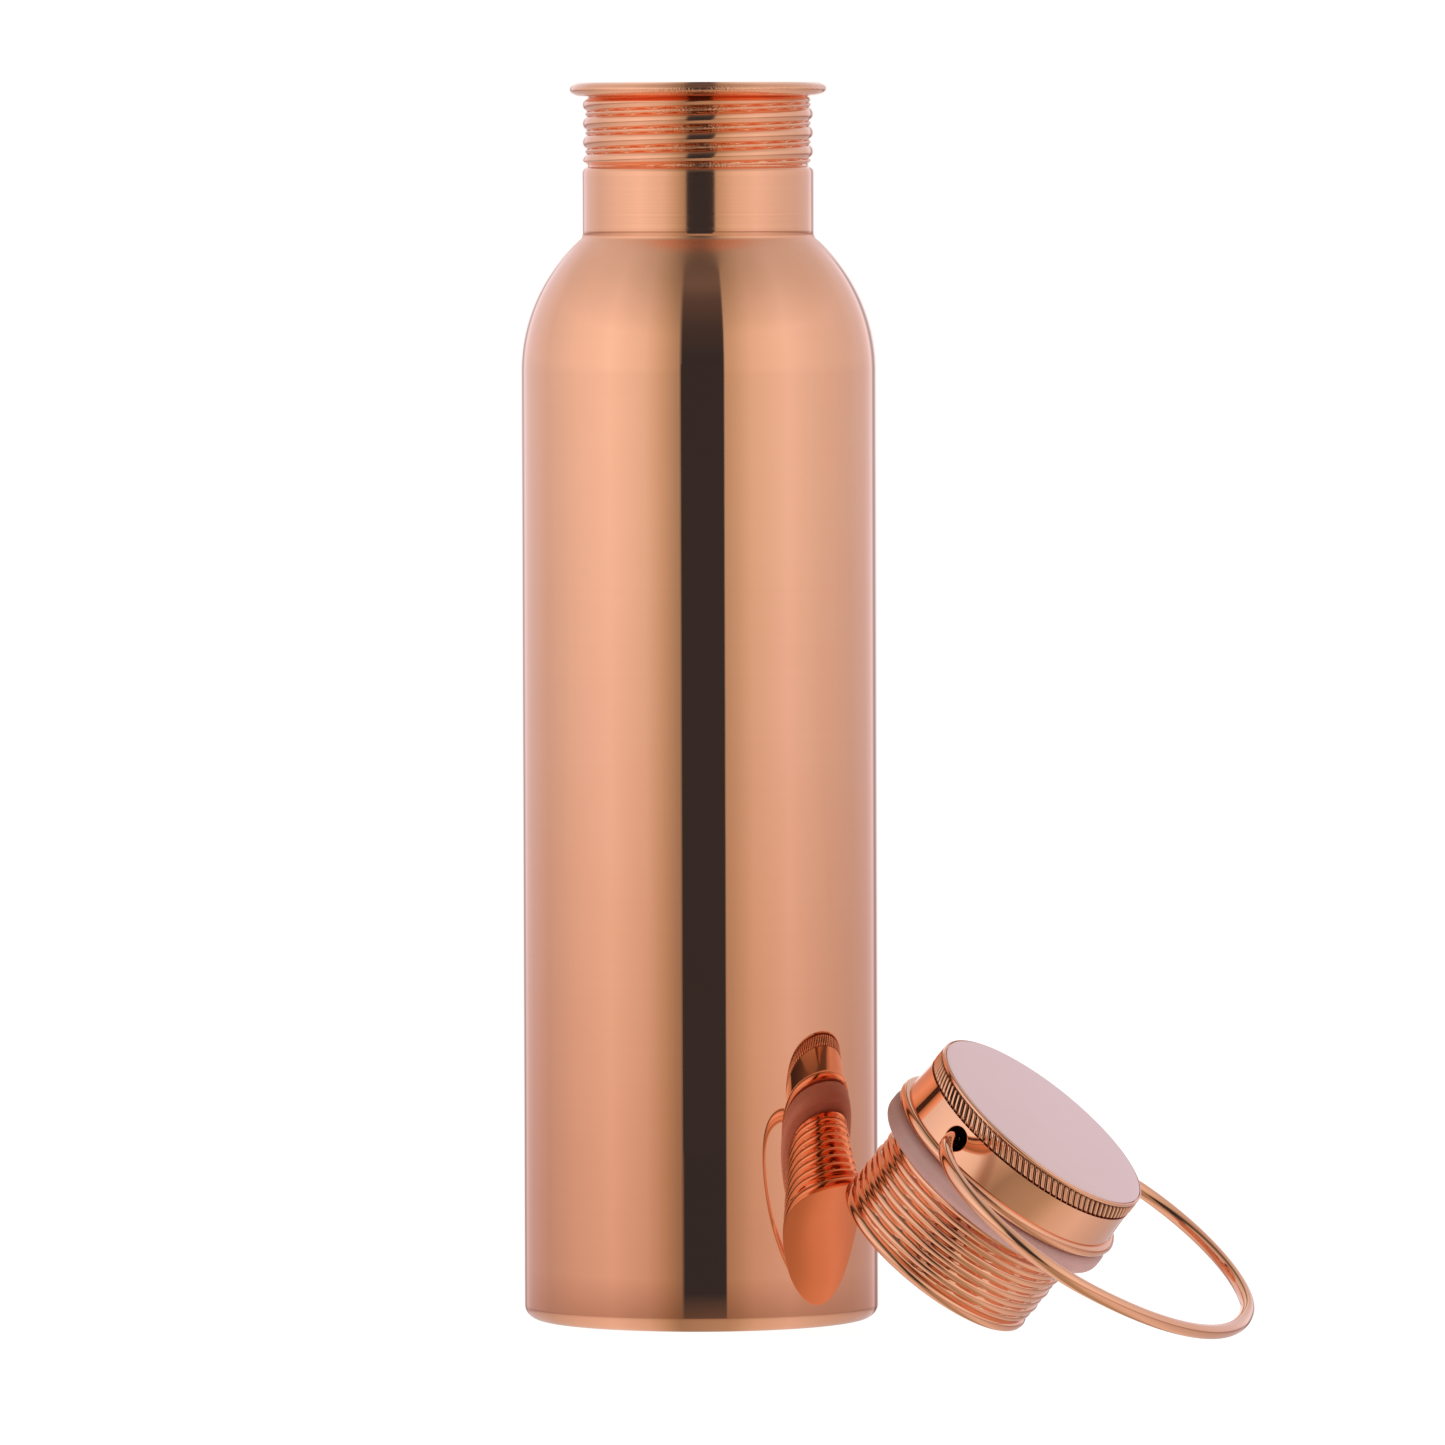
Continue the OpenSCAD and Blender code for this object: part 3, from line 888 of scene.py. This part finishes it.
# %% Bail wire
widest, side_arc, bend_arc = 25.0, 26.5, 4.0
bow, end_bulge = 18.4, 5.1
side_s = skirt_r + bow - side_arc
reach = widest + side_arc + end_bulge
end_arc = (side_s ** 2 + (reach - widest) ** 2 - side_arc ** 2) / (2 * end_bulge)
end_w = reach - end_arc
end_half = math.degrees(math.atan2(side_s, widest - end_w))
bend_angle = math.degrees(math.asin((widest - bend_arc) / (side_arc - bend_arc)))
peg_s = side_s + (side_arc - bend_arc) * math.cos(math.radians(bend_angle))
half_path = (
    [(skirt_r - cap_wall - 2.5, 0.0), (peg_s - 1.0, 0.0)]
    + arc((peg_s, bend_arc), bend_arc, -90, -bend_angle, 12)
    + arc((side_s, widest), side_arc, -bend_angle, 90 - end_half, 48)[1:]
    + arc((0.0, end_w), end_arc, 90 - end_half, 90, 30)[1:])
wire_path = half_path + [(-s, w) for s, w in half_path[-2::-1]]


def wire_tree():
    maker, given = open_tree("drawn_wire", {"Radius": wire_r, "Sides": 32})
    course = maker.add("GeometryNodeMeshToCurve", {}, [given["Geometry"]])[0]
    section = maker.add("GeometryNodeCurvePrimitiveCircle", {},
                        {"Resolution": given["Sides"], "Radius": given["Radius"] * MM})[0]
    swept = maker.add("GeometryNodeCurveToMesh", {},
                      {"Curve": course, "Profile Curve": section, "Fill Caps": True})[0]
    return close_tree(maker, swept, given["Finish"])


def on_bail(angle):
    """The wire's middle line with the bail swung to an angle about the holes."""
    out = math.sin(angle) * bail_out - math.cos(angle) * cap_up
    return [hole_centre + s * MM * holes_line + w * MM * out for s, w in wire_path]


def bail_drop():
    """The angle, to a tenth of a degree, at which the far end lies on the table."""
    floor_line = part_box("bail_handle")[0].z + (wire_r + 0.02) * MM

    def miss(angle):
        return abs(min(point.z for point in on_bail(angle)[::3]) - floor_line)

    return min((math.radians(tenth / 10) for tenth in range(700, 1150)), key=miss)


drop = bail_drop()
places = [tuple(point) for point in on_bail(drop)]
course_mesh = bpy.data.meshes.new("bail_course")
course_mesh.from_pydata(places, [(i, i + 1) for i in range(len(places) - 1)], [])
bail = bpy.data.objects.new("bail_handle_copper", course_mesh)
bpy.context.scene.collection.objects.link(bail)
through_nodes(bail, wire_tree(), Radius=wire_r, Sides=32, Finish=wire_drawn)
hand_over(bail, "bail", "polished_copper", "bail_handle")
